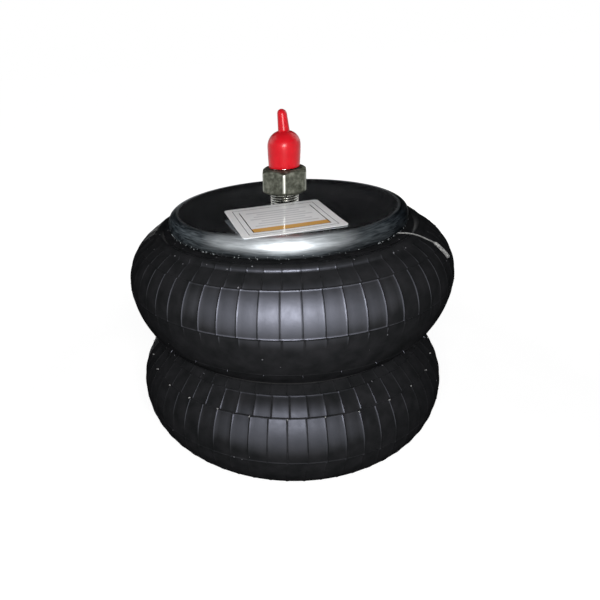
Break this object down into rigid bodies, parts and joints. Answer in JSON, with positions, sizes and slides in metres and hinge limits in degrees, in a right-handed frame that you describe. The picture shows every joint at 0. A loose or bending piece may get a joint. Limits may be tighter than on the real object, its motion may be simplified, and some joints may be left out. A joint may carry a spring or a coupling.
{
  "type": "air bellows actuator",
  "caption": "Convoluted rubber air bellows between crimped steel bead plates, with a threaded air stud, nut and push-on cap above and blind nuts below; it strokes along its axis.",
  "frame": {"origin": "centre of the lower bead plate's outer face, on which the part stands", "axes": "+Z along the bellows axis towards the air stud; X through the two blind nuts of the lower plate"},
  "size_m": [0.224, 0.224, 0.2375],
  "materials": {
    "zinc_plate": "bright zinc plate, scuffed",
    "bead_wire": "bronze-coated steel wire",
    "chafer": "rubberised fabric",
    "cover_rubber": "satin moulded rubber",
    "cord_ply": "rubberised tyre cord",
    "liner_rubber": "matt moulded rubber",
    "hoop_steel": "black coated steel",
    "nut_steel": "dull mottled zinc plate",
    "stud_zinc": "bright zinc plate",
    "cap_vinyl": "glossy dipped vinyl"
  },
  "bodies": {
    "lower_end": {"lower_bead_plate": "zinc_plate", "lower_bead_wire": "bead_wire", "lower_bead_chafer": "chafer", "lower_cover": "cover_rubber", "lower_outer_ply": "cord_ply", "lower_inner_ply": "cord_ply", "lower_liner": "liner_rubber", "blind_nuts": "nut_steel"},
    "girdle": {"girdle_hoop": "hoop_steel"},
    "upper_end": {"upper_bead_plate": "zinc_plate", "upper_bead_wire": "bead_wire", "upper_bead_chafer": "chafer", "upper_cover": "cover_rubber", "upper_outer_ply": "cord_ply", "upper_inner_ply": "cord_ply", "upper_liner": "liner_rubber", "air_stud": "stud_zinc"},
    "nut": {"stud_nut": "nut_steel"},
    "cap": {"stud_cap": "cap_vinyl"}
  },
  "joints": [
    {"name": "lower_stroke", "type": "slide", "parent": "lower_end", "child": "girdle", "axis": [0, 0, 1], "range_m": [-0.042, 0.024], "stiffness_N_per_m": 20000, "deforming": ["lower_cover", "lower_outer_ply", "lower_inner_ply", "lower_liner"]},
    {"name": "upper_stroke", "type": "slide", "parent": "girdle", "child": "upper_end", "axis": [0, 0, 1], "range_m": [-0.042, 0.024], "stiffness_N_per_m": 20000, "deforming": ["upper_cover", "upper_outer_ply", "upper_inner_ply", "upper_liner"]},
    {"name": "nut_run", "type": "slide", "parent": "upper_end", "child": "nut", "axis": [0, 0, 1], "range_m": [-0.0079, 0]},
    {"name": "cap_pull", "type": "slide", "parent": "upper_end", "child": "cap", "axis": [0, 0, 1], "range_m": [0, 0.08]}
  ],
  "couplings": [
    {"joint": "upper_stroke", "follows": "lower_stroke", "ratio": 1}
  ]
}
